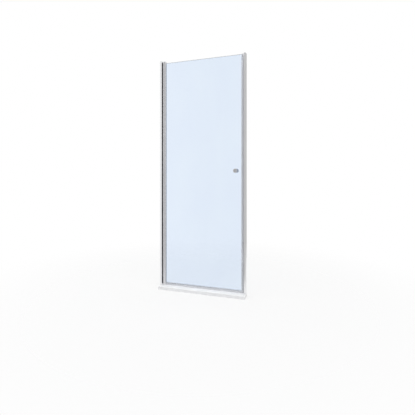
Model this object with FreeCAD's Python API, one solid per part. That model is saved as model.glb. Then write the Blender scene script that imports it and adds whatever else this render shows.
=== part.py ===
import FreeCAD, Part
import math
import os

Vector = FreeCAD.Vector

# A pivot shower door for an opening. Millimetres: X runs from the hinge side to the strike side,
# minus Y is the outside of the shower and Z is up. The origin is under the middle of the opening,
# on the bottom of the sill and in the middle plane of the glass.

# Opening and extruded frame
opening_width = 760.0
frame_length = 1935.0
channel_depth = 40.0
channel_wall = 1.6
channel_web = 2.0
extrusion_round = 0.5
hinge_channel_leg = 17.0
strike_channel_leg = 14.0
wall_hole_radius = 2.75
wall_hole_shares = (0.05, 0.35, 0.65, 0.95)
screw_head_room = 4.0
slide_clearance = 0.3
post_wall = 1.6
hinge_post_width = 11.5
strike_post_width = 8.5
scoop_lip = 6.1
port_radius = 3.4
port_inset = 4.2
port_spread = 9.0
rail_gap = 3.5

# Threshold sill
sill_height = 30.0
sill_front = 57.0
sill_back = 24.0
sill_wall = 2.5
sill_front_round = 8.0
sill_back_round = 3.0
sill_cell_count = 3
sill_cap_plate = 3.0
sill_plug_depth = 12.0
plug_clearance = 0.25

# Pivot brackets with their bushes, washer and screws
top_bracket_height = 15.0
bottom_bracket_height = 12.0
bracket_block_round = 4.0
bracket_eye_round = 10.0
bracket_neck_width = 14.0
bracket_neck_height = 9.0
bush_radius = 7.0
bush_length = 10.0
bush_flange_radius = 9.5
bush_flange_thickness = 0.7
washer_radius = 12.0
washer_thickness = 1.5
running_gap = 0.3
bracket_screw_radius = 1.9
bracket_screw_length = 28.0
bracket_screw_head_radius = 3.6
bracket_screw_head_height = 2.2
lock_screw_radius = 2.5
lock_screw_height = 5.0
lock_screw_sink = 1.0

# Pivot rail, its caps and its pins
rail_radius = 15.0
rail_wall = 2.2
boss_radius = 7.5
pocket_cheek = 2.0
rail_cap_thickness = 2.5
rail_skirt_depth = 8.0
rail_skirt_wall = 2.0
pin_radius = 5.0
pin_grip = 50.0
pin_reach = 8.5
pin_chamfer = 1.0
pin_clearance = 0.05
seat_clearance = 0.05

# Glass leaf and glazing gasket
glass_thickness = 6.0
glass_corner_round = 4.0
glass_arris = 0.8
glazing_wall = 1.5

# Magnet seals, stop strip and drip seal
magnet_thickness = 3.4
magnet_width = 7.6
magnet_end_margin = 5.0
magnet_clearance = 0.2
magnet_gap = 1.0
seal_wall = 1.2
seal_lap = 11.0
floor_gap = 1.5
stop_thickness = 2.0
stop_reach = 10.0
stop_flange = 11.0
stop_clearance = 0.5
drip_lap = 10.0
drip_end_gap = 0.5
drip_fin_thickness = 0.9
drip_fin_spread = 5.0
foot_width = 2.4
foot_barb_width = 4.4
foot_barb_depth = 1.0
foot_clearance = 0.1
bulb_wall = 0.9
bulb_gap = 0.4

# Post screws, screw covers and the cap on the strike side
post_screw_radius = 1.75
post_screw_bite = 3.0
post_screw_head_radius = 2.9
post_screw_head_height = 2.0
post_screw_shares = (0.06, 0.5, 0.94)
thread_clearance = 0.05
recess_width = 0.9
recess_length = 3.0
recess_depth = 1.1
cover_radius = 3.75
cover_height = 3.2
cover_wall = 0.7
cover_round = 1.4
top_cap_thickness = 1.5
top_cap_plug_depth = 10.0

# Door knob
knob_height = 990.0
knob_setback = 57.0
knob_radius = 17.0
knob_length = 27.0
knob_head_length = 14.0
knob_edge_round = 2.6
knob_neck_radius = 8.5
knob_foot_radius = 11.0
knob_foot_length = 2.5
knob_washer_thickness = 1.0
knob_hole_radius = 6.0
stud_radius = 3.0
stud_bite = 14.0
stud_end_room = 1.5
sleeve_clearance = 0.1
knob_lock_radius = 2.0

# One overrun serves every cut
overrun = 1.0

# Places that follow from the sizes
half_opening = opening_width / 2
half_depth = channel_depth / 2
frame_bottom = sill_height
frame_top = frame_bottom + frame_length
post_half = half_depth - channel_wall - slide_clearance
post_back = channel_web + screw_head_room
hinge_post_face = post_back + hinge_post_width
strike_post_face = post_back + strike_post_width
hinge_post_bottom = frame_bottom + bottom_bracket_height
axis_from_side = hinge_post_face + rail_gap + rail_radius
axis_x = axis_from_side - half_opening
scoop_radius = math.hypot(rail_radius + rail_gap, post_half - scoop_lip)
rail_bottom = hinge_post_bottom + washer_thickness + running_gap + rail_cap_thickness
rail_top = frame_top - bush_flange_thickness - running_gap - rail_cap_thickness
pocket_half = glass_thickness / 2 + glazing_wall
seal_head = magnet_thickness + (magnet_clearance + seal_wall) * 2
seal_head_half = magnet_width / 2 + magnet_clearance + seal_wall
strike_seal_tip = half_opening - strike_post_face - seal_head
door_seal_tip = strike_seal_tip - magnet_gap
glass_edge = door_seal_tip - seal_head
glass_back_edge = axis_x + boss_radius + glazing_wall
half_glass = glass_thickness / 2
seal_bottom = frame_bottom + floor_gap
knob_x = glass_edge - knob_setback
knob_z = frame_bottom + knob_height
knob_seat = half_glass + knob_washer_thickness

HINGE = -1
STRIKE = 1


# Shared shapes
def block(x_range, y_range, z_range):
    """Box between two places on each axis, given in either order."""
    ranges = (x_range, y_range, z_range)
    corner = Vector(*[min(ends) for ends in ranges])
    sides = [max(ends) - min(ends) for ends in ranges]
    return Part.makeBox(*sides, corner)


def rod(radius, start, end):
    """Round bar from one point to another."""
    run = end.sub(start)
    return Part.makeCylinder(radius, run.Length, start, run)


def column(radius, x, y, z_range):
    """Upright round bar."""
    return rod(radius, Vector(x, y, min(z_range)), Vector(x, y, max(z_range)))


def longer(ends):
    """A range with the overrun added at both ends."""
    return (min(ends) - overrun, max(ends) + overrun)


def even(half):
    """Range from minus a half width to plus the same."""
    return (-half, half)


def from_side(side, near, far):
    """X range between two distances from the outer face on that side."""
    return (side * (half_opening - near), side * (half_opening - far))


def soft_bar(x_range, y_range, z_range):
    """Upright bar with the small edge rounds of an extrusion."""
    bar = block(x_range, y_range, z_range)
    upright = [edge for edge in bar.Edges if edge.BoundBox.ZLength > edge.BoundBox.DiagonalLength / 2]
    return bar.makeFillet(extrusion_round, upright)


def top_edges(shape):
    """Edges that lie wholly in the upper half."""
    return [edge for edge in shape.Edges if edge.BoundBox.ZMin > shape.BoundBox.Center.z]


def long_top_edge(bar, side):
    """The upper edge along X at the front (minus one) or the back (plus one) of a bar."""
    edges = [edge for edge in top_edges(bar) if edge.BoundBox.XLength > edge.BoundBox.YLength]
    return [max(edges, key=lambda edge: edge.CenterOfMass.y * side)]


def keep(name, *shapes):
    """Write one named piece, or one group of like pieces, as a file."""
    solids = [solid for shape in shapes for solid in shape.Solids]
    whole = solids[0] if len(solids) == 1 else Part.makeCompound(solids)
    whole.exportStep(os.path.join("parts", name + ".step"))


def cross_recess(centre, outward):
    """Cutter for a cross drive, from the top of a screw head into the screw."""
    bars = []
    for long_x, long_z in ((recess_length, recess_width), (recess_width, recess_length)):
        bar = block(even(long_x / 2), even(long_z / 2), (-recess_depth, overrun))
        bars.append(bar)
    cutter = bars[0].fuse(bars[1])
    cutter.Placement = FreeCAD.Placement(centre, FreeCAD.Rotation(Vector(0, 0, 1), outward))
    return cutter


def set_screw(radius, start, end):
    """Headless screw from its outer end to its inner end, with a hexagon socket."""
    inward = end.sub(start)
    corners = []
    for corner in range(7):
        angle = math.tau * corner / 6
        corners.append(Vector(math.cos(angle), math.sin(angle), 0) * (radius / 2))
    socket = Part.Face(Part.makePolygon(corners)).extrude(Vector(0, 0, radius))
    socket.Placement = FreeCAD.Placement(start, FreeCAD.Rotation(Vector(0, 0, 1), inward))
    return rod(radius, start, end).cut(socket)


# Threshold sill: a hollow white bar across the whole opening, closed by two end caps
def sill_body(x_range, inset):
    """Outer form of the sill, or the space inside its walls when inset by the wall."""
    y_range = (inset - sill_front, sill_back - inset)
    bar = block(x_range, y_range, (inset, sill_height - inset))
    bar = bar.makeFillet(max(sill_front_round - inset, sill_wall / 2), long_top_edge(bar, -1))
    return bar.makeFillet(max(sill_back_round - inset, sill_wall / 2), long_top_edge(bar, 1))


def sill_cells(x_range, clearance):
    """Hollow cells of the sill between its walls and ribs."""
    inside = sill_body(x_range, sill_wall + clearance)
    depth = (sill_front + sill_back - sill_wall * (sill_cell_count + 1)) / sill_cell_count
    cells = []
    for number in range(sill_cell_count):
        front = -sill_front + sill_wall + number * (depth + sill_wall) + clearance
        back = front + depth - clearance * 2
        cells.append(inside.common(block(x_range, (front, back), (0, sill_height))))
    return cells


def make_sill():
    end = half_opening - sill_cap_plate
    sill = sill_body(even(end), 0)
    for cell in sill_cells(even(end + overrun), 0):
        sill = sill.cut(cell)
    keep("sill", sill)
    caps = []
    for side in (HINGE, STRIKE):
        cap = sill_body((side * end, side * half_opening), 0)
        for plug in sill_cells((side * (end - sill_plug_depth), side * end), plug_clearance):
            cap = cap.fuse(plug)
        caps.append(cap.removeSplitter())
    keep("sill_end_caps", *caps)


# Side channels: aluminium U sections, screwed on through their backs
def post_screw_x(side):
    """X place of the screws that hold a post in its channel."""
    width = hinge_post_width if side == HINGE else strike_post_width
    return side * (half_opening - post_back - width / 2)


def post_screw_heights():
    return [frame_bottom + share * frame_length for share in post_screw_shares]


def post_screw_reach():
    return channel_wall + slide_clearance + post_wall + post_screw_bite


def post_screw_holes(side):
    """Cutters for the three screws through the back of a channel and its post."""
    holes = []
    for z in post_screw_heights():
        outer = Vector(post_screw_x(side), half_depth + overrun, z)
        inner = Vector(post_screw_x(side), half_depth - post_screw_reach(), z)
        holes.append(rod(post_screw_radius + thread_clearance, outer, inner))
    return holes


def make_wall_channel(name, side, leg):
    z_range = (frame_bottom, frame_top)
    channel = soft_bar(from_side(side, 0, leg), even(half_depth), z_range)
    inside = from_side(side, channel_web, leg + overrun)
    channel = channel.cut(block(inside, even(half_depth - channel_wall), longer(z_range)))
    for share in wall_hole_shares:
        z = frame_bottom + share * frame_length
        outer = Vector(side * (half_opening + overrun), 0, z)
        inner = Vector(side * (half_opening - channel_web - overrun), 0, z)
        channel = channel.cut(rod(wall_hole_radius, outer, inner))
    for hole in post_screw_holes(side):
        channel = channel.cut(hole)
    keep(name, channel)


# Posts: hollow sections that slide in the channels to take up an opening out of true
def port_places():
    """X and Y places of the two screw ports in the hinge post."""
    x = post_back + port_inset - half_opening
    return [(x, -port_spread), (x, port_spread)]


def foot_slot(x_range, z_range):
    """Slot in a post wall for the foot of a seal."""
    return block(x_range, even(foot_width / 2 + foot_clearance), longer(z_range))


def make_hinge_post():
    z_range = (hinge_post_bottom, frame_top)
    post = soft_bar(from_side(HINGE, post_back, hinge_post_face), even(post_half), z_range)
    post = post.cut(column(scoop_radius, axis_x, 0, longer(z_range)))
    inner_x = from_side(HINGE, post_back + post_wall, hinge_post_face - post_wall)
    hollow = block(inner_x, even(post_half - post_wall), longer(z_range))
    hollow = hollow.cut(column(scoop_radius + post_wall, axis_x, 0, longer(longer(z_range))))
    for x, y in port_places():
        hollow = hollow.cut(column(port_radius, x, y, longer(longer(z_range))))
    post = post.cut(hollow)
    for x, y in port_places():
        post = post.cut(column(bracket_screw_radius + thread_clearance, x, y, longer(z_range)))
    for hole in post_screw_holes(HINGE):
        post = post.cut(hole)
    scoop_floor = axis_x - scoop_radius
    post = post.cut(foot_slot((scoop_floor - post_wall - overrun, scoop_floor + overrun), z_range))
    keep("hinge_post", post)


def make_strike_post():
    z_range = (frame_bottom, frame_top)
    post = soft_bar(from_side(STRIKE, post_back, strike_post_face), even(post_half), z_range)
    inner_x = from_side(STRIKE, post_back + post_wall, strike_post_face - post_wall)
    post = post.cut(block(inner_x, even(post_half - post_wall), longer(z_range)))
    for hole in post_screw_holes(STRIKE):
        post = post.cut(hole)
    face_wall = from_side(STRIKE, strike_post_face - post_wall - overrun, strike_post_face + overrun)
    keep("strike_post", post.cut(foot_slot(face_wall, z_range)))


def make_post_screws(name, cover_name, side):
    screws = []
    covers = []
    for z in post_screw_heights():
        seat = Vector(post_screw_x(side), half_depth, z)
        tip = seat - Vector(0, post_screw_reach(), 0)
        head_top = seat + Vector(0, post_screw_head_height, 0)
        screw = rod(post_screw_radius, tip, head_top).fuse(rod(post_screw_head_radius, seat, head_top))
        screws.append(screw.cut(cross_recess(head_top, Vector(0, 1, 0))).removeSplitter())
        cover = rod(cover_radius, seat, seat + Vector(0, cover_height, 0))
        rim = max(cover.Edges, key=lambda edge: edge.CenterOfMass.y)
        cover = cover.makeFillet(cover_round, [rim])
        cavity_top = seat + Vector(0, cover_height - cover_wall, 0)
        covers.append(cover.cut(rod(cover_radius - cover_wall, seat, cavity_top)))
    keep(name, *screws)
    keep(cover_name, *covers)


def make_strike_top_cap():
    plate_top = frame_top + top_cap_thickness
    plate = block(from_side(STRIKE, 0, strike_post_face), even(half_depth), (frame_top, plate_top))
    plate = plate.makeFillet(top_cap_thickness / 2, top_edges(plate))
    near = post_back + post_wall + plug_clearance
    far = strike_post_face - post_wall - foot_barb_depth - foot_clearance - plug_clearance
    plug_half = post_half - post_wall - plug_clearance
    plug_z = (frame_top - top_cap_plug_depth, frame_top)
    plug = block(from_side(STRIKE, near, far), even(plug_half), plug_z)
    keep("strike_top_cap", plate.fuse(plug).removeSplitter())


# Pivot brackets: cast arms on the hinge post that hold the bushes over and under the rail
def bracket_screw(head_top, down, growth):
    """Countersunk screw, or its hole when the radii grow by a clearance."""
    head_end = head_top + down * bracket_screw_head_height
    tip = head_top + down * bracket_screw_length
    head = Part.makeCone(bracket_screw_head_radius + growth, bracket_screw_radius + growth,
                         bracket_screw_head_height, head_top, down)
    return head.fuse(rod(bracket_screw_radius + growth, head_end, tip))


def lock_screw_ends(z):
    """Outer and inner end of the screw that locks a bush in its eye."""
    outer = Vector(axis_x, lock_screw_sink - rail_radius, z)
    inner = Vector(axis_x, -bush_radius - seat_clearance, z)
    return outer, inner


def bracket_arm(block_x, block_half, z_range, neck_height, rounded):
    """Block on the post, narrow neck and round eye over or under the rail."""
    foot = block(block_x, even(block_half), z_range)
    eye = column(rail_radius, axis_x, 0, z_range)
    if rounded:
        foot = foot.makeFillet(bracket_block_round, top_edges(foot))
        eye = eye.makeFillet(bracket_eye_round, top_edges(eye))
    neck_z = (min(z_range), min(z_range) + neck_height)
    neck = block((max(block_x) - post_wall, axis_x), even(bracket_neck_width / 2), neck_z)
    return foot.fuse(neck).fuse(eye).removeSplitter()


def finish_bracket(name, arm, bore_range, lock_z, screw_top, down):
    """Bore the eye, drill the lock screw and the two fixing screws, and write the arm."""
    arm = arm.cut(column(bush_radius + seat_clearance, axis_x, 0, bore_range))
    outer, inner = lock_screw_ends(lock_z)
    mouth = outer - Vector(0, lock_screw_sink + overrun, 0)
    arm = arm.cut(rod(lock_screw_radius + thread_clearance, mouth, inner))
    screws = []
    for x, y in port_places():
        head_top = Vector(x, y, screw_top)
        arm = arm.cut(bracket_screw(head_top, down, thread_clearance))
        screw = bracket_screw(head_top, down, 0)
        screws.append(screw.cut(cross_recess(head_top, down * -1)).removeSplitter())
    keep(name, arm)
    return screws, set_screw(lock_screw_radius, outer, inner)


def bush(z_range, flange_range):
    """Plastic bush with a flange where one is given."""
    body = column(bush_radius, axis_x, 0, z_range)
    if flange_range:
        body = body.fuse(column(bush_flange_radius, axis_x, 0, flange_range))
    both = z_range + (flange_range or ())
    bore = column(pin_radius + pin_clearance, axis_x, 0, longer((min(both), max(both))))
    return body.cut(bore).removeSplitter()


def make_pivot_brackets():
    up = Vector(0, 0, 1)
    top_z = (frame_top, frame_top + top_bracket_height)
    top_arm = bracket_arm(from_side(HINGE, 0, hinge_post_face), half_depth, top_z,
                          bracket_neck_height, True)
    top_bore = (frame_top - overrun, frame_top + bush_length)
    top_screws, top_lock = finish_bracket("top_pivot_bracket", top_arm, top_bore,
                                          frame_top + lock_screw_height, max(top_z), up * -1)
    bottom_z = (frame_bottom, hinge_post_bottom)
    bottom_arm = bracket_arm(from_side(HINGE, post_back, hinge_post_face), post_half, bottom_z,
                             bottom_bracket_height, False)
    bottom_bore = (hinge_post_bottom - bush_length, hinge_post_bottom + overrun)
    bottom_screws, bottom_lock = finish_bracket("bottom_pivot_bracket", bottom_arm, bottom_bore,
                                                hinge_post_bottom - lock_screw_height, frame_bottom, up)
    keep("pivot_bracket_screws", *top_screws, *bottom_screws)
    keep("bush_lock_screws", top_lock, bottom_lock)
    flange = (frame_top - bush_flange_thickness, frame_top)
    keep("top_pivot_bush", bush((frame_top, frame_top + bush_length), flange))
    keep("bottom_pivot_bush", bush((hinge_post_bottom - bush_length, hinge_post_bottom), None))
    washer_z = (hinge_post_bottom, hinge_post_bottom + washer_thickness)
    washer = column(washer_radius, axis_x, 0, washer_z)
    keep("thrust_washer", washer.cut(column(pin_radius + running_gap, axis_x, 0, longer(washer_z))))


# Pivot rail: a round extrusion that grips the glass and turns on a pin at each end
def rail_chamber(z_range, clearance):
    """Hollow of the rail round the pin boss, or what fits in it when a clearance is given."""
    chamber = column(rail_radius - rail_wall - clearance, axis_x, 0, z_range)
    chamber = chamber.cut(column(boss_radius + clearance, axis_x, 0, longer(z_range)))
    solid_half = pocket_half + pocket_cheek + clearance
    pocket_side = (axis_x - clearance, axis_x + rail_radius)
    return chamber.cut(block(pocket_side, even(solid_half), longer(z_range)))


def pin_lock_ends(z):
    """Outer and inner end of the set screw that holds a pin in the rail."""
    return Vector(axis_x, rail_radius - lock_screw_sink, z), Vector(axis_x, pin_radius + seat_clearance, z)


def make_pivot_rail():
    z_range = (rail_bottom, rail_top)
    rail = column(rail_radius, axis_x, 0, z_range)
    rail = rail.cut(rail_chamber(longer(z_range), 0))
    rail = rail.cut(column(pin_radius + seat_clearance, axis_x, 0, longer(z_range)))
    pocket_x = (axis_x + boss_radius, axis_x + rail_radius + overrun)
    rail = rail.cut(block(pocket_x, even(pocket_half), longer(z_range)))
    screws = []
    for z in (rail_bottom + pin_grip / 2, rail_top - pin_grip / 2):
        outer, inner = pin_lock_ends(z)
        mouth = outer + Vector(0, lock_screw_sink + overrun, 0)
        rail = rail.cut(rod(lock_screw_radius + thread_clearance, mouth, inner))
        screws.append(set_screw(lock_screw_radius, outer, inner))
    keep("pivot_rail", rail)
    keep("pin_lock_screws", *screws)


def make_rail_cap(name, disc_range, skirt_range):
    disc = column(rail_radius, axis_x, 0, disc_range)
    disc = disc.cut(column(pin_radius + plug_clearance, axis_x, 0, longer(disc_range)))
    skirt_inside = rail_radius - rail_wall - plug_clearance - rail_skirt_wall
    skirt = rail_chamber(skirt_range, plug_clearance)
    skirt = skirt.cut(column(skirt_inside, axis_x, 0, longer(skirt_range)))
    keep(name, disc.fuse(skirt).removeSplitter())


def make_pin(name, z_range):
    pin = column(pin_radius, axis_x, 0, z_range)
    ends = [edge for edge in pin.Edges if edge.BoundBox.ZLength < pin_radius]
    keep(name, pin.makeChamfer(pin_chamfer, ends))


def make_pivots():
    make_rail_cap("rail_top_cap", (rail_top, rail_top + rail_cap_thickness),
                  (rail_top - rail_skirt_depth, rail_top))
    make_rail_cap("rail_bottom_cap", (rail_bottom - rail_cap_thickness, rail_bottom),
                  (rail_bottom, rail_bottom + rail_skirt_depth))
    make_pin("top_pivot_pin", (rail_top - pin_grip, frame_top + pin_reach))
    make_pin("bottom_pivot_pin", (hinge_post_bottom - pin_reach, rail_bottom + pin_grip))


# Glass leaf, bonded in the rail with a U gasket
def make_glass():
    leaf = block((glass_back_edge, glass_edge), even(half_glass), (rail_bottom, rail_top))
    corners = [edge for edge in leaf.Edges if edge.BoundBox.XMin > 0
               and edge.BoundBox.YLength > glass_thickness / 2]
    leaf = leaf.makeFillet(glass_corner_round, corners)
    outside = Vector(knob_x, -half_glass - overrun, knob_z)
    inside = Vector(knob_x, half_glass + overrun, knob_z)
    leaf = leaf.cut(rod(knob_hole_radius, outside, inside))
    rims = [edge for edge in leaf.Edges if edge.BoundBox.YLength < glass_arris]
    keep("glass_panel", leaf.makeChamfer(glass_arris, rims))


def make_glazing_gasket():
    z_range = (rail_bottom, rail_top)
    pocket_floor = axis_x + boss_radius
    gasket = block((pocket_floor, axis_x + rail_radius), even(pocket_half), z_range)
    gasket = gasket.common(column(rail_radius, axis_x, 0, z_range))
    slot_x = (glass_back_edge, axis_x + rail_radius + overrun)
    keep("glazing_gasket", gasket.cut(block(slot_x, even(half_glass), longer(z_range))))


# Seals: clear extrusions with magnet strips, a stop strip, a drip seal and a bulb gasket
def seal_foot(face_x, inward):
    """Barbed foot of a seal, pushed through a slot in a post wall."""
    z_range = (frame_bottom, frame_top)
    barb_start = face_x + inward * (post_wall + foot_clearance)
    barb_end = barb_start + inward * foot_barb_depth
    stem = block((face_x - inward * seal_wall, barb_end), even(foot_width / 2), z_range)
    return stem.fuse(block((barb_start, barb_end), even(foot_barb_width / 2), z_range))


def magnet_space(tip, inward, growth):
    """Magnet strip behind the tip of a seal, or its pocket when grown by the clearance."""
    near = tip + inward * (seal_wall + magnet_clearance - growth)
    far = near + inward * (magnet_thickness + growth * 2)
    return (near, far), even(magnet_width / 2 + growth)


def make_magnet_pair():
    z_range = (frame_bottom, frame_top)
    strip_z = (frame_bottom + magnet_end_margin, frame_top - magnet_end_margin)
    face = half_opening - strike_post_face
    carrier = soft_bar((strike_seal_tip, face), even(seal_head_half), z_range)
    carrier = carrier.fuse(seal_foot(face, STRIKE))
    pocket_x, pocket_y = magnet_space(strike_seal_tip, STRIKE, magnet_clearance)
    keep("strike_magnet_carrier", carrier.cut(block(pocket_x, pocket_y, longer(z_range))).removeSplitter())
    keep("strike_magnet", block(*magnet_space(strike_seal_tip, STRIKE, 0), strip_z))
    door_z = (seal_bottom, frame_top)
    head = soft_bar((glass_edge, door_seal_tip), even(seal_head_half), door_z)
    arms = block((glass_edge - seal_lap, glass_edge), even(half_glass + seal_wall), door_z)
    slot_x = (glass_edge - seal_lap - overrun, glass_edge)
    arms = arms.cut(block(slot_x, even(half_glass), longer(door_z)))
    pocket_x, pocket_y = magnet_space(door_seal_tip, HINGE, magnet_clearance)
    seal = head.fuse(arms).cut(block(pocket_x, pocket_y, longer(door_z)))
    keep("door_magnet_carrier", seal.removeSplitter())
    keep("door_magnet", block(*magnet_space(door_seal_tip, HINGE, 0), strip_z))


def make_stop_strip():
    z_range = (frame_bottom, frame_top)
    front = seal_head_half + stop_clearance
    blade_x = from_side(STRIKE, strike_post_face, strike_post_face + stop_reach)
    flange_x = from_side(STRIKE, strike_post_face, strike_post_face + stop_thickness)
    strip = soft_bar(blade_x, (front, front + stop_thickness), z_range)
    strip = strip.fuse(soft_bar(flange_x, (front, front + stop_flange), z_range))
    keep("door_stop_strip", strip.removeSplitter())


def make_drip_seal():
    x_range = (axis_x + rail_radius + drip_end_gap, glass_edge - seal_lap - drip_end_gap)
    web_bottom = rail_bottom - seal_wall
    body = block(x_range, even(half_glass + seal_wall), (web_bottom, rail_bottom + drip_lap))
    slot_z = (rail_bottom, rail_bottom + drip_lap + overrun)
    body = body.cut(block(longer(x_range), even(half_glass), slot_z))
    for side in (-1, 1):
        middle = side * drip_fin_spread / 2
        fin_y = (middle - drip_fin_thickness / 2, middle + drip_fin_thickness / 2)
        body = body.fuse(block(x_range, fin_y, (seal_bottom, web_bottom + seal_wall / 2)))
    keep("bottom_drip_seal", body.removeSplitter())


def make_hinge_gasket():
    z_range = (hinge_post_bottom, frame_top)
    scoop_floor = axis_x - scoop_radius
    foot = seal_foot(scoop_floor, HINGE).common(block(even(half_opening), even(half_depth), z_range))
    outer = (scoop_radius - rail_radius - bulb_gap) / 2
    centre = scoop_floor + outer
    bulb = column(outer, centre, 0, z_range).fuse(foot)
    keep("hinge_gasket", bulb.cut(column(outer - bulb_wall, centre, 0, longer(z_range))).removeSplitter())


# Door knob: two turned halves on one stud through the glass
def turned_knob(side):
    """One knob half; side is minus one outside the shower and plus one inside."""
    neck_end = knob_length - knob_head_length
    profile = [(0, 0), (knob_foot_radius, 0), (knob_foot_radius, knob_foot_length),
               (knob_neck_radius, knob_foot_length), (knob_neck_radius, neck_end),
               (knob_radius, neck_end), (knob_radius, knob_length), (0, knob_length), (0, 0)]
    points = [Vector(knob_x + radius, side * (knob_seat + out), knob_z) for radius, out in profile]
    face = Part.Face(Part.makePolygon(points))
    knob = face.revolve(Vector(knob_x, 0, knob_z), Vector(0, 1, 0), 360)
    head_rims = [edge for edge in knob.Edges if edge.BoundBox.ZLength > knob_radius * 2 - knob_edge_round
                 and edge.BoundBox.YLength < knob_edge_round]
    knob = knob.makeFillet(knob_edge_round, head_rims)
    bore_end = side * (knob_seat + stud_bite + stud_end_room)
    bore = rod(stud_radius + thread_clearance, Vector(knob_x, 0, knob_z), Vector(knob_x, bore_end, knob_z))
    return knob.cut(bore)


def make_knob():
    keep("knob_outer", turned_knob(-1))
    lock_y = knob_seat + (knob_foot_length + knob_length - knob_head_length) / 2
    lock_outer = Vector(knob_x, lock_y, knob_z - knob_neck_radius + stud_end_room)
    lock_inner = Vector(knob_x, lock_y, knob_z - stud_radius - thread_clearance)
    mouth = lock_outer - Vector(0, 0, stud_end_room + overrun)
    inner_knob = turned_knob(1).cut(rod(knob_lock_radius + thread_clearance, mouth, lock_inner))
    keep("knob_inner", inner_knob)
    keep("knob_lock_screw", set_screw(knob_lock_radius, lock_outer, lock_inner))
    stud_end = Vector(0, knob_seat + stud_bite, 0)
    centre = Vector(knob_x, 0, knob_z)
    keep("knob_stud", rod(stud_radius, centre - stud_end, centre + stud_end))
    glass_half = Vector(0, half_glass, 0)
    bore = rod(stud_radius + sleeve_clearance, centre - stud_end, centre + stud_end)
    sleeve = rod(knob_hole_radius - sleeve_clearance, centre - glass_half, centre + glass_half)
    keep("knob_sleeve", sleeve.cut(bore))
    washers = []
    for side in (-1, 1):
        start = Vector(knob_x, side * half_glass, knob_z)
        end = Vector(knob_x, side * knob_seat, knob_z)
        washers.append(rod(knob_foot_radius, start, end).cut(bore))
    keep("knob_washers", *washers)


os.makedirs("parts", exist_ok=True)
make_sill()
make_wall_channel("wall_channel_left", HINGE, hinge_channel_leg)
make_wall_channel("wall_channel_right", STRIKE, strike_channel_leg)
make_hinge_post()
make_strike_post()
make_post_screws("hinge_post_screws", "hinge_post_screw_covers", HINGE)
make_post_screws("strike_post_screws", "strike_post_screw_covers", STRIKE)
make_strike_top_cap()
make_pivot_brackets()
make_pivot_rail()
make_pivots()
make_glass()
make_glazing_gasket()
make_magnet_pair()
make_stop_strip()
make_drip_seal()
make_hinge_gasket()
make_knob()
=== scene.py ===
import math

import bmesh
import bpy
from mathutils import Matrix, Vector


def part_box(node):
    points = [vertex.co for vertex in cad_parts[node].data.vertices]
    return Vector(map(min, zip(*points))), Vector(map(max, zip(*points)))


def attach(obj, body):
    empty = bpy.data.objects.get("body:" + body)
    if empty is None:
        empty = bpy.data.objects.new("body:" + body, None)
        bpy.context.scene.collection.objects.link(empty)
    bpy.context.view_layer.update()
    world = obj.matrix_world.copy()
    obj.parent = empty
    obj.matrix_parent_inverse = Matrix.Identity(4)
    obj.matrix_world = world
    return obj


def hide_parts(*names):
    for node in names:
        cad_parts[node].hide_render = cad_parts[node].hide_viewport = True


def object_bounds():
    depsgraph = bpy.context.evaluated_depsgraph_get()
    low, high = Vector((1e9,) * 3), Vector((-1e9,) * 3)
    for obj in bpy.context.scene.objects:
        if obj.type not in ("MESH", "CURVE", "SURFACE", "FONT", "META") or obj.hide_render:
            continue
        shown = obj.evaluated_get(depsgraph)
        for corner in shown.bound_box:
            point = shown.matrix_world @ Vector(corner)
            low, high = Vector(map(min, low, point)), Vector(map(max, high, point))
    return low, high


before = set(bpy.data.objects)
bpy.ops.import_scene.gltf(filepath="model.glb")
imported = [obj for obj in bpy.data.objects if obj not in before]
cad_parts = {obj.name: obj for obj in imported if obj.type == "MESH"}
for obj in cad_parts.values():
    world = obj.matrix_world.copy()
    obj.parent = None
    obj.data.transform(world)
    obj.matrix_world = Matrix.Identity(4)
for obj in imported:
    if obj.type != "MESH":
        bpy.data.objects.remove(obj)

cad_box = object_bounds()


# Threshold sill. A hollow bar of white gloss plastic that lies right across the opening, under the door. It
# is extruded, sawn to length and closed by a moulded cap at each end.
sill_wall = 0.0025
sill_cells = 3
sill_front_round = 0.008
sill_back_round = 0.003
sill_base_round = 0.001
smooth_up_to = math.radians(35)
weld_distance = 0.000002
corner_steps = 8
round_margin = 0.00006
arris_steps = 1
noise_low, noise_high = 0.3, 0.7
noise_detail = 3


def arc(centre, radius, start, sweep, steps):
    """Points of an arc in the plane of a section, from one angle through a sweep."""
    angles = [start + sweep * step / steps for step in range(steps + 1)]
    return [(centre[0] + radius * math.cos(a), centre[1] + radius * math.sin(a)) for a in angles]


def rounded(corners):
    """Closed outline through corners, each given as two places and the radius that rounds it. A point a
    little before and after each round keeps the shading of the flats beside it flat."""
    outline = []
    for before, corner, after in zip(corners[-1:] + corners[:-1], corners, corners[1:] + corners[:1]):
        point = Vector(corner[:2])
        radius = corner[2]
        back = (Vector(before[:2]) - point).normalized()
        ahead = (Vector(after[:2]) - point).normalized()
        half = back.angle(ahead) / 2
        if radius == 0:
            outline.append(tuple(point))
            continue
        centre = point + (back + ahead).normalized() * (radius / math.sin(half))
        reach = radius / math.tan(half)
        first = point + back * reach - centre
        last = point + ahead * reach - centre
        start = math.atan2(first.y, first.x)
        sweep = (math.atan2(last.y, last.x) - start + math.pi) % math.tau - math.pi
        outline.append(tuple(point + back * (reach + round_margin)))
        outline += arc(centre, radius, start, sweep, corner_steps)
        outline.append(tuple(point + ahead * (reach + round_margin)))
    return outline


def smooth_rounds(mesh):
    """Shade a mesh smooth, apart from its sharp edges."""
    mesh.shade_smooth()
    mesh.set_sharp_from_angle(angle=smooth_up_to)


def add_piece(name, shape):
    """Weld a mesh, turn its faces outwards and put it in the scene as a piece."""
    bmesh.ops.remove_doubles(shape, verts=shape.verts, dist=weld_distance)
    bmesh.ops.recalc_face_normals(shape, faces=shape.faces)
    mesh = bpy.data.meshes.new(name)
    shape.to_mesh(mesh)
    shape.free()
    smooth_rounds(mesh)
    piece = bpy.data.objects.new(name, mesh)
    bpy.context.scene.collection.objects.link(piece)
    return piece


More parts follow.
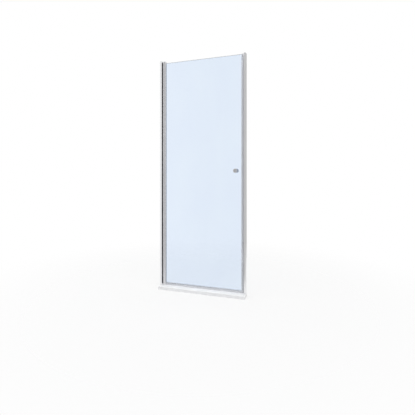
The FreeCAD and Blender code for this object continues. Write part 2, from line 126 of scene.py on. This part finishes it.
def even_out_ends(shape):
    """Turn the edges between the triangles of the flat ends, so that none of the triangles is a sliver."""
    bmesh.ops.remove_doubles(shape, verts=shape.verts, dist=weld_distance)
    triangles = [face for face in shape.faces if len(face.verts) == 3]
    inner = [edge for edge in shape.edges if all(len(face.verts) == 3 for face in edge.link_faces)]
    bmesh.ops.beautify_fill(shape, faces=triangles, edges=inner)


def extrude(name, loops, axes, start, end, arris=0):
    """Straight length of a section; its first loop is the outline, the others are hollows. The axes say
    where the two directions of the section and its length lie; an arris breaks the edges at both ends."""
    curve = bpy.data.curves.new(name, "CURVE")
    curve.dimensions = "2D"
    curve.fill_mode = "BOTH"
    curve.extrude = (end - start) / 2 - arris
    curve.bevel_depth = arris
    curve.bevel_resolution = arris_steps
    curve.offset = -arris
    for loop in loops:
        spline = curve.splines.new("POLY")
        spline.points.add(len(loop) - 1)
        for point, place in zip(spline.points, loop):
            point.co = (*place, 0, 1)
        spline.use_cyclic_u = True
    pattern = bpy.data.objects.new(name, curve)
    mesh = bpy.data.meshes.new_from_object(pattern)
    shape = bmesh.new()
    shape.from_mesh(mesh)
    bpy.data.objects.remove(pattern)
    bpy.data.meshes.remove(mesh)
    for corner in shape.verts:
        place = dict(zip(axes, corner.co))
        place[axes[2]] += (start + end) / 2
        corner.co = (place["X"], place["Y"], place["Z"])
    even_out_ends(shape)
    return add_piece(name, shape)


def put_in(piece, finish, body, node):
    """Give a piece its finish and put it in the place of a CAD node of a body."""
    piece.data.materials.append(finish)
    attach(piece, body)
    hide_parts(node)


def sill_section(low, high):
    """Outline of the sill with its rounded nosing, and the hollows between its walls and ribs."""
    outline = rounded([(low.y, low.z, sill_base_round), (high.y, low.z, sill_base_round),
                       (high.y, high.z, sill_back_round), (low.y, high.z, sill_front_round)])
    width = (high.y - low.y - sill_wall * (sill_cells + 1)) / sill_cells
    loops = [outline]
    for cell in range(sill_cells):
        front = low.y + sill_wall + cell * (width + sill_wall)
        nosing = sill_front_round - sill_wall if cell == 0 else sill_base_round
        floor, roof = low.z + sill_wall, high.z - sill_wall
        loops.append(rounded([(front, floor, sill_base_round), (front + width, floor, sill_base_round),
                              (front + width, roof, sill_base_round), (front, roof, nosing)]))
    return loops


def new_finish(name):
    """Start a finish; gives the material, its node tree and its surface shader."""
    finish = bpy.data.materials.new(name)
    finish.use_nodes = True
    tree = finish.node_tree
    return finish, tree, tree.nodes["Principled BSDF"]


def add(tree, kind, inputs, **settings):
    """Add one shader node, with its settings and with values or links on its inputs."""
    node = tree.nodes.new("ShaderNode" + kind)
    for name, value in settings.items():
        setattr(node, name, value)
    feed(tree, node, inputs)
    return node


def feed(tree, node, inputs):
    """Set or link inputs of a node by name."""
    for name, value in inputs.items():
        if isinstance(value, bpy.types.NodeSocket):
            tree.links.new(value, node.inputs[name])
        else:
            node.inputs[name].default_value = value


def grain(tree, size, stretch=(1, 1, 1)):
    """Noise fixed to the piece, with grains of a size in metres; the stretch draws them out by axis."""
    place = add(tree, "TexCoord", {})
    scale = [1 / (size * length) for length in stretch]
    spread = add(tree, "Mapping", {"Vector": place.outputs["Object"], "Scale": scale})
    noise = add(tree, "TexNoise", {"Vector": spread.outputs["Vector"], "Scale": 1, "Detail": noise_detail})
    return noise.outputs["Fac"]


def between(tree, noise, low, high):
    """Turn a noise into a value that swings between two limits."""
    limits = {"From Min": noise_low, "From Max": noise_high, "To Min": low, "To Max": high}
    swing = add(tree, "MapRange", {"Value": noise, **limits})
    return swing.outputs["Result"]


def shades(tree, noise, dark, light):
    """Turn a noise into a colour between two near ones."""
    ramp = add(tree, "ValToRGB", {"Fac": noise})
    stops = zip(ramp.color_ramp.elements, (noise_low, noise_high), (dark, light))
    for element, position, colour in stops:
        element.position = position
        element.color = (*colour, 1)
    return ramp.outputs["Color"]


def relief(tree, noise, depth):
    """Turn a noise into a surface relief of that depth in metres."""
    bump = add(tree, "Bump", {"Height": noise, "Strength": 1, "Distance": depth})
    return bump.outputs["Normal"]


def dress(finish, *names):
    """Give CAD nodes a finish."""
    for name in names:
        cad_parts[name].material_slots[0].material = finish


def white_gloss():
    """White gloss plastic with the faint ripple of an extruded face."""
    finish, tree, shader = new_finish("white_gloss")
    ripple = grain(tree, size=0.0025, stretch=(60, 1, 1))
    mottle = grain(tree, size=0.05)
    feed(tree, shader, {
        "Base Color": shades(tree, mottle, dark=(0.925, 0.925, 0.935), light=(0.94, 0.94, 0.947)),
        "Roughness": between(tree, ripple, low=0.2, high=0.26),
        "Normal": relief(tree, ripple, depth=0.000004),
        "IOR": 1.5,
    })
    return finish


sill_low, sill_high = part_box("sill")
sill_white = white_gloss()
sill_bar = extrude("sill_bar", sill_section(sill_low, sill_high), "YZX", sill_low.x, sill_high.x)
put_in(sill_bar, sill_white, "frame", "sill")
dress(sill_white, "sill_end_caps")


# Side channels. Bright anodised aluminium U sections, extruded and screwed on through their backs; the
# posts slide in them. Extrusion leaves fine lines along their length.
def anodised_aluminium(name, dark, light, gloss):
    """Anodised aluminium with the fine lines of extrusion; the gloss is its range of roughness."""
    finish, tree, shader = new_finish(name)
    lines = grain(tree, size=0.0006, stretch=(1, 1, 1500))
    cloud = grain(tree, size=0.08, stretch=(1, 1, 4))
    feed(tree, shader, {
        "Base Color": shades(tree, cloud, dark, light),
        "Metallic": 1,
        "Roughness": between(tree, lines, *gloss),
        "Normal": relief(tree, lines, depth=0.000012),
    })
    return finish


bright_aluminium = anodised_aluminium("bright_aluminium", dark=(0.83, 0.83, 0.845),
                                      light=(0.88, 0.88, 0.89), gloss=(0.18, 0.27))
dress(bright_aluminium, "wall_channel_left", "wall_channel_right")


# Posts. Hollow aluminium extrusions of the same finish, pushed into the channels and set upright; the hinge
# post is hollowed out in front to take the round rail.
dress(bright_aluminium, "hinge_post", "strike_post")


# Post screws. Plain stainless pan-head screws with a cross recess, driven from inside the shower to lock
# each post in its channel.
def stainless_steel():
    """Plain stainless steel with fine tool marks."""
    finish, tree, shader = new_finish("stainless_steel")
    marks = grain(tree, size=0.0004)
    feed(tree, shader, {
        "Base Color": shades(tree, marks, dark=(0.60, 0.60, 0.61), light=(0.69, 0.69, 0.70)),
        "Metallic": 1,
        "Roughness": between(tree, marks, low=0.25, high=0.4),
        "Normal": relief(tree, marks, depth=0.00001),
    })
    return finish


steel = stainless_steel()
dress(steel, "hinge_post_screws", "strike_post_screws")


# Screw covers and strike cap. Light grey mouldings: small domes that snap over the screw heads, and the
# plate that closes the strike profile at the top.
def grey_moulding():
    """Light grey moulded plastic with a fine spark-eroded grain."""
    finish, tree, shader = new_finish("grey_moulding")
    pores = grain(tree, size=0.0007)
    feed(tree, shader, {
        "Base Color": shades(tree, pores, dark=(0.68, 0.68, 0.70), light=(0.73, 0.73, 0.75)),
        "Roughness": between(tree, pores, low=0.32, high=0.45),
        "Normal": relief(tree, pores, depth=0.00002),
    })
    return finish


grey_plastic = grey_moulding()
dress(grey_plastic, "hinge_post_screw_covers", "strike_post_screw_covers", "strike_top_cap")


# Pivot brackets. Chromed zinc castings, screwed to the ends of the hinge post with countersunk screws;
# each holds a bush in a round eye, with a set screw from the front.
def chromed_casting():
    """Chrome on a polished casting, with soft waves left by the polishing."""
    finish, tree, shader = new_finish("chromed_casting")
    waves = grain(tree, size=0.012)
    smears = grain(tree, size=0.003)
    feed(tree, shader, {
        "Base Color": shades(tree, waves, dark=(0.78, 0.785, 0.80), light=(0.83, 0.83, 0.845)),
        "Metallic": 1,
        "Roughness": between(tree, smears, low=0.07, high=0.15),
        "Normal": relief(tree, waves, depth=0.00003),
    })
    return finish


chrome = chromed_casting()
dress(chrome, "top_pivot_bracket", "bottom_pivot_bracket")
dress(steel, "pivot_bracket_screws", "bush_lock_screws")


# Pivot bushes and thrust washer. White bearing plastic, turned from rod: a bush in each eye for the pins,
# and a washer on the lower bracket that carries the leaf.
def bearing_plastic():
    """Waxy white bearing plastic with turning marks."""
    finish, tree, shader = new_finish("bearing_plastic")
    rings = grain(tree, size=0.0008, stretch=(6, 6, 1))
    feed(tree, shader, {
        "Base Color": shades(tree, rings, dark=(0.83, 0.83, 0.81), light=(0.88, 0.88, 0.86)),
        "Roughness": between(tree, rings, low=0.35, high=0.5),
        "Normal": relief(tree, rings, depth=0.00002),
    })
    return finish


dress(bearing_plastic(), "top_pivot_bush", "bottom_pivot_bush", "thrust_washer")


# Hinge gasket. A soft grey rubber bulb, extruded with a barbed foot and pushed into the slot of the hinge
# post, where it closes the groove beside the turning rail.
def grey_rubber():
    """Matt dark grey rubber with a dusty bloom."""
    finish, tree, shader = new_finish("grey_rubber")
    skin = grain(tree, size=0.001, stretch=(1, 1, 8))
    bloom = grain(tree, size=0.03)
    feed(tree, shader, {
        "Base Color": shades(tree, bloom, dark=(0.14, 0.14, 0.147), light=(0.19, 0.19, 0.197)),
        "Roughness": between(tree, skin, low=0.55, high=0.75),
        "Normal": relief(tree, skin, depth=0.00005),
    })
    return finish


rubber = grey_rubber()
dress(rubber, "hinge_gasket")


# Pivot rail. A round aluminium extrusion with a pocket for the glass; it turns on two steel pins, which
# set screws hold in its bore, and has a moulded cap at each end.
rail_wall = 0.0022
pin_boss = 0.0075
pin_bore = 0.00505
pocket_half = 0.0045
pocket_cheek = 0.002
thread_room = 0.00005
round_steps = 96
bore_steps = 48
hole_steps = 32


def rail_section(axis, radius):
    """Outline of the rail with the mouth of its pocket, its hollow round the pin boss and the pin bore."""
    mouth = math.asin(pocket_half / radius)
    outline = arc((axis, 0), radius, mouth, math.tau - 2 * mouth, round_steps)
    outline += [(axis + pin_boss, -pocket_half), (axis + pin_boss, pocket_half)]
    cheek = pocket_half + pocket_cheek
    outer, inner = radius - rail_wall, pin_boss
    outer_start, inner_start = math.asin(cheek / outer), math.asin(cheek / inner)
    hollow = arc((axis, 0), outer, outer_start, math.tau - 2 * outer_start, round_steps)
    hollow += arc((axis, 0), inner, -inner_start, 2 * inner_start - math.tau, bore_steps)
    bore = arc((axis, 0), pin_bore, 0, math.tau, bore_steps)[:-1]
    return [outline, hollow, bore]


def drill(piece, start, end, radius):
    """Bore a round hole into a piece from one point to another."""
    run = end - start
    stand = Matrix.Translation((start + end) / 2) @ run.to_track_quat("Z", "Y").to_matrix().to_4x4()
    shape = bmesh.new()
    bmesh.ops.create_cone(shape, cap_ends=True, segments=hole_steps, radius1=radius, radius2=radius,
                          depth=run.length, matrix=stand)
    bit = add_piece("drill_bit", shape)
    cut = piece.modifiers.new("hole", "BOOLEAN")
    cut.object = bit
    cut.solver = "EXACT"
    bored = bpy.data.meshes.new_from_object(piece.evaluated_get(bpy.context.evaluated_depsgraph_get()))
    smooth_rounds(bored)
    piece.modifiers.clear()
    piece.data = bored
    bpy.data.objects.remove(bit)


rail_low, rail_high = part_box("pivot_rail")
rail_radius = rail_high.y
rail_axis = rail_low.x + rail_radius
rail = extrude("rail_tube", rail_section(rail_axis, rail_radius), "XYZ", rail_low.z, rail_high.z)
lock_low, lock_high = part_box("pin_lock_screws")
lock_radius = (lock_high.x - lock_low.x) / 2
for lock_z in (lock_low.z + lock_radius, lock_high.z - lock_radius):
    outside = Vector((rail_axis, rail_radius + rail_wall, lock_z))
    drill(rail, outside, Vector((rail_axis, pin_bore / 2, lock_z)), lock_radius + thread_room)
satin_aluminium = anodised_aluminium("satin_aluminium", dark=(0.66, 0.66, 0.68),
                                     light=(0.71, 0.71, 0.73), gloss=(0.28, 0.38))
put_in(rail, satin_aluminium, "door", "pivot_rail")
dress(steel, "top_pivot_pin", "bottom_pivot_pin", "pin_lock_screws")
dress(grey_plastic, "rail_top_cap", "rail_bottom_cap")


# Glazing gasket. A soft grey rubber U that beds the glass in the pocket of the rail; its two lips swell
# into beads along the mouth of the pocket and press on the glass.
bead_proud = 0.0004
bead_length = 0.0010
lip_round = 0.0003


def both_sides(half):
    """Whole outline from the half of it that lies on the plus side of the middle plane."""
    return rounded(half + [(along, -across, radius) for along, across, radius in reversed(half)])


def gasket_section(low, slot_floor, glass_half):
    """U round the edge of the glass, with a bead on each lip outside the pocket."""
    mouth = rail_axis + math.sqrt(rail_radius ** 2 - pocket_half ** 2)
    bead_end = mouth + bead_length
    bead_half = pocket_half + bead_proud
    return both_sides([(low.x, pocket_half, lip_round), (mouth, pocket_half, 0),
                       (mouth + lip_round, bead_half, lip_round), (bead_end, bead_half, lip_round),
                       (bead_end, glass_half, lip_round), (slot_floor, glass_half, 0)])


glass_low, glass_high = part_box("glass_panel")
gasket_low, gasket_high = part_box("glazing_gasket")
gasket = extrude("glazing_bead", [gasket_section(gasket_low, glass_low.x, glass_high.y)], "XYZ",
                 gasket_low.z, gasket_high.z)
put_in(gasket, rubber, "door", "glazing_gasket")


# Glass leaf. A pane of clear toughened glass, faintly blue, bonded in the rail; its free corners are
# rounded, its edges are ground to an arris and polished, and one hole takes the knob.
glass_arris = 0.0012
glass_corner = 0.004
pane_slope = 0.99
knob_hole = 0.006


def glass_section(low, high, hole_centre):
    """Outline of the leaf with its two free corners rounded, and the hole for the knob."""
    outline = rounded([(low.x, low.z, 0), (high.x, low.z, glass_corner),
                       (high.x, high.z, glass_corner), (low.x, high.z, 0)])
    hole = arc((hole_centre.x, hole_centre.z), knob_hole, 0, -math.tau, bore_steps)[:-1]
    return [outline, hole]


def let_lamps_through(tree, shader, tint):
    """Let the light of lamps through a clear piece, tinted, so that its shadow stays faint."""
    path = add(tree, "LightPath", {})
    clear = add(tree, "BsdfTransparent", {"Color": (*tint, 1)})
    shares = {0: path.outputs["Is Shadow Ray"], 1: shader.outputs[0], 2: clear.outputs[0]}
    both = add(tree, "MixShader", shares)
    tree.links.new(both.outputs[0], tree.nodes["Material Output"].inputs["Surface"])


def clear_glass():
    """Clear glass with a breath of blue and faint wipe marks."""
    finish, tree, shader = new_finish("clear_glass")
    wiped = grain(tree, size=0.25, stretch=(1, 1, 2))
    feed(tree, shader, {
        "Base Color": shades(tree, wiped, dark=(0.755, 0.836, 0.957), light=(0.776, 0.86, 0.965)),
        "Roughness": between(tree, wiped, low=0, high=0.012),
        "Transmission Weight": 1,
        "IOR": 1.5,
    })
    let_lamps_through(tree, shader, tint=(0.86, 0.90, 0.94))
    return finish


def glass_edge_painted_shade():
    """Ground and polished glass edge; its dark grey is painted shade for the line light draws along an
    edge.
    """
    finish, tree, shader = new_finish("glass_edge_painted_shade")
    wheel = grain(tree, size=0.0006, stretch=(8, 1, 8))
    feed(tree, shader, {
        # Painted shade: the dark base colour stands in for the line that refraction draws along the glass
        # edge.
        "Base Color": shades(tree, wheel, dark=(0.10, 0.13, 0.145), light=(0.15, 0.18, 0.195)),
        "Roughness": between(tree, wheel, low=0.15, high=0.28),
        "Normal": relief(tree, wheel, depth=0.00002),
        "Transmission Weight": 0.1,
        "IOR": 1.5,
    })
    return finish


stud_low, stud_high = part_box("knob_stud")
knob_centre = (stud_low + stud_high) / 2
leaf = extrude("glass_leaf", glass_section(glass_low, glass_high, knob_centre), "XZY",
               glass_low.y, glass_high.y, glass_arris)
put_in(leaf, clear_glass(), "door", "glass_panel")
# The edge faces take the glass edge finish, whose dark grey is painted shade.
leaf.data.materials.append(glass_edge_painted_shade())
for face in leaf.data.polygons:
    face.use_smooth = abs(face.normal.y) < pane_slope
    face.material_index = 1 if face.use_smooth else 0


# Door seal. Milky clear soft plastic, extruded in one length and pushed over the free edge of the glass:
# two flared arms grip the glass, and the head in front of them holds a magnet strip.
seal_wall = 0.0012
seal_room = 0.0002
seal_flare = 0.0004
flare_length = 0.003
head_round = 0.0012
shoulder_round = 0.0006
pocket_round = 0.0004
upright_lines = (1, 1, 400)


def milky_plastic(name, stretch, cover):
    """Milky clear plastic with faint drawing lines along its length; the cover is how much it hides."""
    finish, tree, shader = new_finish(name)
    lines = grain(tree, size=0.0008, stretch=stretch)
    haze = grain(tree, size=0.06)
    feed(tree, shader, {
        "Base Color": shades(tree, haze, dark=(0.80, 0.81, 0.85), light=(0.85, 0.86, 0.90)),
        "Roughness": between(tree, lines, low=0.22, high=0.34),
        "Normal": relief(tree, lines, depth=0.00001),
        "Alpha": cover,
    })
    return finish


def magnet_pocket(node):
    """Hollow that a magnet strip slides into."""
    low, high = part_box(node)
    near, far, half = low.x - seal_room, high.x + seal_room, high.y + seal_room
    return rounded([(near, -half, pocket_round), (far, -half, pocket_round),
                    (far, half, pocket_round), (near, half, pocket_round)])


def gripping_arm(tip, root, face):
    """Half outline of an arm that grips the glass, from outside round its flared tip to its inner root."""
    bend = tip + flare_length * math.copysign(1, root - tip)
    outer = face + seal_wall
    return [(bend, outer, flare_length), (tip, outer + seal_flare, pocket_round),
            (tip, face + seal_flare, pocket_round), (bend, face, flare_length), (root, face, 0)]


clear_plastic = milky_plastic("milky_upright", stretch=upright_lines, cover=0.45)
seal_low, seal_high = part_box("door_magnet_carrier")
shoulder = glass_high.x - seal_wall
door_seal_half = [(seal_high.x, seal_high.y, head_round), (glass_high.x, seal_high.y, shoulder_round),
                  (shoulder, glass_high.y + seal_wall, shoulder_round),
                  *gripping_arm(seal_low.x, glass_high.x, glass_high.y)]
door_seal = extrude("door_seal", [both_sides(door_seal_half), magnet_pocket("door_magnet")], "XYZ",
                    seal_low.z, seal_high.z)
put_in(door_seal, clear_plastic, "door", "door_magnet_carrier")


# Strike seal. The fixed half of the closure, of the same soft plastic: a head with the other magnet strip
# and a barbed foot that snaps into the slot of the strike post.
foot_half = 0.0012
barb_half = 0.0022
barb_length = 0.001

strike_low, strike_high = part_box("strike_magnet_carrier")
post_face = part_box("strike_post")[0].x
barb = strike_high.x - barb_length
strike_seal_half = [(strike_high.x, barb_half, pocket_round), (barb, barb_half, 0), (barb, foot_half, 0),
                    (post_face, foot_half, 0), (post_face, strike_high.y, pocket_round),
                    (strike_low.x, strike_high.y, head_round)]
strike_seal = extrude("strike_seal", [both_sides(strike_seal_half), magnet_pocket("strike_magnet")], "XYZ",
                      strike_low.z, strike_high.z)
put_in(strike_seal, clear_plastic, "frame", "strike_magnet_carrier")


# Stop strip. An angle of the same plastic, bonded to the strike post by its flange; the bead along its free
# edge stops the leaf from swinging inwards.
stop_wall = 0.002
stop_bead = 0.0026
bead_round = 0.0009

stop_low, stop_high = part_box("door_stop_strip")
flange_x = stop_high.x - stop_wall
blade_y = stop_low.y + stop_wall
bead_x, bead_y = stop_low.x + stop_bead, stop_low.y + stop_bead
stop_outline = rounded([(stop_low.x, stop_low.y, bead_round), (stop_high.x, stop_low.y, pocket_round),
                        (stop_high.x, stop_high.y, bead_round), (flange_x, stop_high.y, bead_round),
                        (flange_x, blade_y, head_round), (bead_x + bead_round, blade_y, bead_round),
                        (bead_x, bead_y, bead_round), (stop_low.x, bead_y, bead_round)])
stop_strip = extrude("stop_strip", [stop_outline], "XYZ", stop_low.z, stop_high.z)
put_in(stop_strip, clear_plastic, "frame", "door_stop_strip")


# Drip seal. Two plastics extruded as one: clear stiff arms are pushed over the lower edge of the glass, and
# two thin milky fins under them sweep outwards to just above the sill and turn the water back.
fin_root = 0.0024
fin_tip = 0.0038
fin_thick, fin_thin = 0.0011, 0.0007
fin_steps = 8
level_lines = (400, 1, 1)


def fin_side(low_z, web_z, sign):
    """One face of a fin, from the web down to its tip; the fin sweeps out and gets thinner on its way."""
    points = []
    for step in range(fin_steps + 1):
        share = step / fin_steps
        middle = fin_root + (fin_tip - fin_root) * share ** 2
        half = (fin_thick + (fin_thin - fin_thick) * share) / 2
        points.append((web_z + (low_z - web_z) * share, middle + sign * half, 0))
    return points


drip_low, drip_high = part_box("bottom_drip_seal")
web_bottom = glass_low.z - seal_wall
drip_half = [*reversed(gripping_arm(drip_high.z, glass_low.z, glass_high.y)),
             (web_bottom, glass_high.y + seal_wall, shoulder_round),
             *fin_side(drip_low.z, web_bottom, 1), *reversed(fin_side(drip_low.z, web_bottom, -1))]
drip_seal = extrude("drip_seal", [both_sides(drip_half)], "ZYX", drip_low.x, drip_high.x)
clear_arms = milky_plastic("clear_arms", stretch=level_lines, cover=0.15)
put_in(drip_seal, clear_arms, "door", "bottom_drip_seal")
drip_seal.data.materials.append(milky_plastic("milky_fins", stretch=level_lines, cover=0.5))
for face in drip_seal.data.polygons:
    face.material_index = 1 if face.center.z < web_bottom else 0


# Magnet strips. Flexible strips of grey magnet rubber, extruded, magnetised and pushed into the pockets
# of the two seals from the end; they pull the leaf shut.
def magnet_rubber():
    """Grey magnet rubber with a gritty surface."""
    finish, tree, shader = new_finish("magnet_rubber")
    grit = grain(tree, size=0.0009)
    feed(tree, shader, {
        "Base Color": shades(tree, grit, dark=(0.74, 0.74, 0.76), light=(0.80, 0.80, 0.82)),
        "Roughness": between(tree, grit, low=0.6, high=0.8),
        "Normal": relief(tree, grit, depth=0.00005),
    })
    return finish


dress(magnet_rubber(), "strike_magnet", "door_magnet")


# Knob. Two turned and chromed halves, drawn together by a stud through the glass, with clear washers and
# a clear sleeve between metal and glass, and a set screw in the inner half.
knob_head = 0.014
knob_neck = 0.0085
knob_foot = 0.011
foot_thick = 0.0025
foot_round = 0.0006
neck_round = 0.0022
back_round = 0.0014
front_round = 0.0026
stud_bore = 0.00305
stud_depth = 0.0155


def turning_marks(tree, axis, pitch):
    """Noise in rings round an axis along y, as a lathe tool leaves them."""
    place = add(tree, "TexCoord", {})
    offset = add(tree, "VectorMath", {0: place.outputs["Object"], 1: axis}, operation="SUBTRACT")
    flat = add(tree, "VectorMath", {0: offset.outputs[0], 1: (1, 0, 1)}, operation="MULTIPLY")
    radius = add(tree, "VectorMath", {0: flat.outputs[0]}, operation="LENGTH")
    rings = add(tree, "TexNoise", {"W": radius.outputs["Value"], "Scale": 1 / pitch}, noise_dimensions="1D")
    return rings.outputs["Fac"]


def chromed_turning():
    """Bright chrome over fine turning marks, with faint finger smears."""
    finish, tree, shader = new_finish("chromed_turning")
    rings = turning_marks(tree, knob_centre, pitch=0.0006)
    smears = grain(tree, size=0.008)
    feed(tree, shader, {
        "Base Color": shades(tree, rings, dark=(0.64, 0.64, 0.655), light=(0.70, 0.70, 0.715)),
        "Metallic": 1,
        "Roughness": between(tree, smears, low=0.07, high=0.11),
        "Normal": relief(tree, rings, depth=0.000004),
    })
    return finish


def turn_knob(name, low, high, side):
    """One knob half, turned round the stud; side is minus one outside the shower and plus one inside."""
    seat = min(abs(low.y), abs(high.y))
    length = high.y - low.y
    radius = (high.x - low.x) / 2
    neck_end = length - knob_head
    profile = rounded([(0, stud_depth, 0), (stud_bore, stud_depth, 0), (stud_bore, 0, 0),
                       (knob_foot, 0, pocket_round), (knob_foot, foot_thick, foot_round),
                       (knob_neck, foot_thick, foot_round), (knob_neck, neck_end, neck_round),
                       (radius, neck_end, back_round), (radius, length, front_round), (0, length, 0)])
    shape = bmesh.new()
    places = [Vector((out, side * (seat + along), 0)) for out, along in profile]
    line = [shape.verts.new(place) for place in places]
    edges = [shape.edges.new(pair) for pair in zip(line, line[1:])]
    bmesh.ops.spin(shape, geom=line + edges, axis=(0, 1, 0), angle=math.tau, steps=round_steps,
                   use_merge=True)
    bmesh.ops.translate(shape, verts=shape.verts, vec=(knob_centre.x, 0, knob_centre.z))
    return add_piece(name, shape)


knob_finish = chromed_turning()
knob_outside = turn_knob("knob_outside", *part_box("knob_outer"), -1)
put_in(knob_outside, knob_finish, "door", "knob_outer")
knob_inside = turn_knob("knob_inside", *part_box("knob_inner"), 1)
grub_low, grub_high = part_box("knob_lock_screw")
grub_radius = (grub_high.x - grub_low.x) / 2
grub_top = Vector((knob_centre.x, (grub_low.y + grub_high.y) / 2, knob_centre.z))
drill(knob_inside, grub_top - Vector((0, 0, knob_neck + foot_thick)), grub_top, grub_radius + thread_room)
put_in(knob_inside, knob_finish, "door", "knob_inner")
dress(steel, "knob_stud", "knob_lock_screw")
dress(clear_plastic, "knob_sleeve", "knob_washers")


# Studio. A pale floor that runs out into a white room, with soft lamps at the upper left, at the right and
# overhead. Grey cards that only reflections see give the metal its contrast: four upright ones round the
# door and one that lies in front of it.
floor_radius = 2.6
floor_colour = (0.75, 0.75, 0.75, 1)
floor_glow = 0.8
fade_start, fade_end = 0.65, 2.47
room_fill = 0.6
lamps = {"key_lamp": {"place": (-3.2, -2.0, 2.2), "size": (1.6, 3.0), "power": 24},
         "fill_lamp": {"place": (3.2, -1.6, 1.8), "size": (1.2, 3.0), "power": 8},
         "top_lamp": {"place": (0, -0.3, 4.2), "size": (2.0, 2.0), "power": 86}}
card_grey = 0.56
card_bottom, card_top = -1.5, 4.5
card_feather_share = 0.2
card_middle_share = 0.5
cards = {"front_card": ((-2.3, -4.2), (4.2, -2.4)), "rear_card": ((-3.0, 3.4), (3.0, 3.4)),
         "left_card": ((-4.2, -1.4), (-2.8, 3.6)), "right_card": ((2.8, 3.6), (4.2, 0.2))}
low_card = ((-0.6, -2.6), (2.4, -0.2))
low_card_lift = 0.003


def seen_directly(tree):
    """One where the camera, a reflection or a view through glass meets this surface, and zero elsewhere."""
    path = add(tree, "LightPath", {})
    total = path.outputs["Is Camera Ray"]
    for ray in ("Is Glossy Ray", "Is Transmission Ray"):
        total = add(tree, "Math", {0: total, 1: path.outputs[ray]}, operation="MAXIMUM").outputs[0]
    return total


def make_room():
    """White room: full white where it is seen, and a softer fill for the light that it gives."""
    room = bpy.data.worlds.new("white_room")
    room.use_nodes = True
    tree = room.node_tree
    level = add(tree, "MapRange", {"Value": seen_directly(tree), "To Min": room_fill, "To Max": 1})
    feed(tree, tree.nodes["Background"], {"Color": (1, 1, 1, 1), "Strength": level.outputs["Result"]})
    bpy.context.scene.world = room


def floor_finish():
    """Pale floor that keeps its shadows and fades into the white room at its rim."""
    finish, tree, shader = new_finish("pale_floor")
    speck = grain(tree, size=0.02)
    feed(tree, shader, {"Base Color": floor_colour, "Roughness": between(tree, speck, low=0.7, high=0.8),
                        "Specular IOR Level": 0.1})
    white = add(tree, "Emission", {"Color": (1, 1, 1, 1), "Strength": 1})
    share = add(tree, "Math", {0: seen_directly(tree), 1: floor_glow}, operation="MULTIPLY")
    pale = add(tree, "MixShader", {0: share.outputs[0], 1: shader.outputs[0], 2: white.outputs[0]})
    place = add(tree, "TexCoord", {})
    far = add(tree, "VectorMath", {0: place.outputs["Object"]}, operation="LENGTH")
    fade = add(tree, "MapRange", {"Value": far.outputs["Value"], "From Min": fade_start,
                                  "From Max": fade_end}, interpolation_type="SMOOTHSTEP")
    open_rim = add(tree, "BsdfTransparent", {})
    faded = add(tree, "MixShader", {0: fade.outputs["Result"], 1: pale.outputs[0], 2: open_rim.outputs[0]})
    tree.links.new(faded.outputs[0], tree.nodes["Material Output"].inputs["Surface"])
    return finish


def flat_sheet(name, corners, finish):
    """One flat face of the studio."""
    mesh = bpy.data.meshes.new(name)
    mesh.from_pydata(corners, [], [list(range(len(corners)))])
    mesh.materials.append(finish)
    sheet = bpy.data.objects.new(name, mesh)
    bpy.context.scene.collection.objects.link(sheet)
    return sheet


def card_finish(name, axes):
    """Grey of a card, which fades out towards its edges along two axes."""
    finish, tree, _ = new_finish(name)
    glow = add(tree, "Emission", {"Color": (1, 1, 1, 1), "Strength": card_grey})
    around = add(tree, "BsdfTransparent", {})
    place = add(tree, "TexCoord", {})
    along = add(tree, "SeparateXYZ", {"Vector": place.outputs["Generated"]})
    cover = 1
    for axis in axes:
        inset = add(tree, "Math", {0: along.outputs[axis], 1: card_middle_share}, operation="PINGPONG")
        edge = add(tree, "MapRange", {"Value": inset.outputs[0], "From Max": card_feather_share},
                   interpolation_type="SMOOTHSTEP")
        cover = add(tree, "Math", {0: cover, 1: edge.outputs["Result"]}, operation="MULTIPLY").outputs[0]
    both = add(tree, "MixShader", {0: cover, 1: around.outputs[0], 2: glow.outputs[0]})
    tree.links.new(both.outputs[0], tree.nodes["Material Output"].inputs["Surface"])
    return finish


def put_up_card(name, corners, finish):
    """Card that only reflections see."""
    card = flat_sheet(name, corners, finish)
    card.visible_camera = False
    card.visible_diffuse = False
    card.visible_transmission = False
    card.visible_shadow = False


def hang_lamp(name, target, place, size, power):
    """Soft lamp of a width and a height that faces a point of the door."""
    lamp = bpy.data.lights.new(name, "AREA")
    lamp.shape = "RECTANGLE"
    lamp.size, lamp.size_y = size
    lamp.energy = power
    holder = bpy.data.objects.new(name, lamp)
    holder.location = place
    holder.rotation_euler = (Vector(target) - Vector(place)).to_track_quat("-Z", "Y").to_euler()
    holder.visible_glossy = False
    holder.visible_transmission = False
    bpy.context.scene.collection.objects.link(holder)


make_room()
rim = arc((0, 0), floor_radius, 0, math.tau, round_steps)[:-1]
flat_sheet("floor", [(x, y, 0) for x, y in rim], floor_finish())
upright_grey = card_finish("upright_card", "XZ")
for name, (start, end) in cards.items():
    corners = [(*start, card_bottom), (*end, card_bottom), (*end, card_top), (*start, card_top)]
    put_up_card(name, corners, upright_grey)
(left, front), (right, back) = low_card
lying = [(left, front), (right, front), (right, back), (left, back)]
put_up_card("low_card", [(*corner, low_card_lift) for corner in lying], card_finish("lying_card", "XY"))
door_middle = (0, 0, (cad_box[0].z + cad_box[1].z) / 2)
for name, lamp in lamps.items():
    hang_lamp(name, target=door_middle, **lamp)


# Camera. It stands level to the right of the door, at chest height, with the frame shifted down as in the
# photograph. The focal length and the height of the horizon are given in the photograph's pixels.
picture_side = 415
focal_pixels = 330.4
horizon_row = 177.25
camera_turn = 18.68
camera_place = (0.937, -2.620, 0.967)

view = bpy.data.cameras.new("photo_camera")
view.lens = view.sensor_width * focal_pixels / picture_side
view.shift_y = (horizon_row - picture_side / 2) / picture_side
camera = bpy.data.objects.new("photo_camera", view)
camera.location = camera_place
camera.rotation_euler = (math.pi / 2, 0, math.radians(camera_turn))
bpy.context.scene.collection.objects.link(camera)
bpy.context.scene.camera = camera
bpy.context.scene.view_settings.view_transform = "Standard"
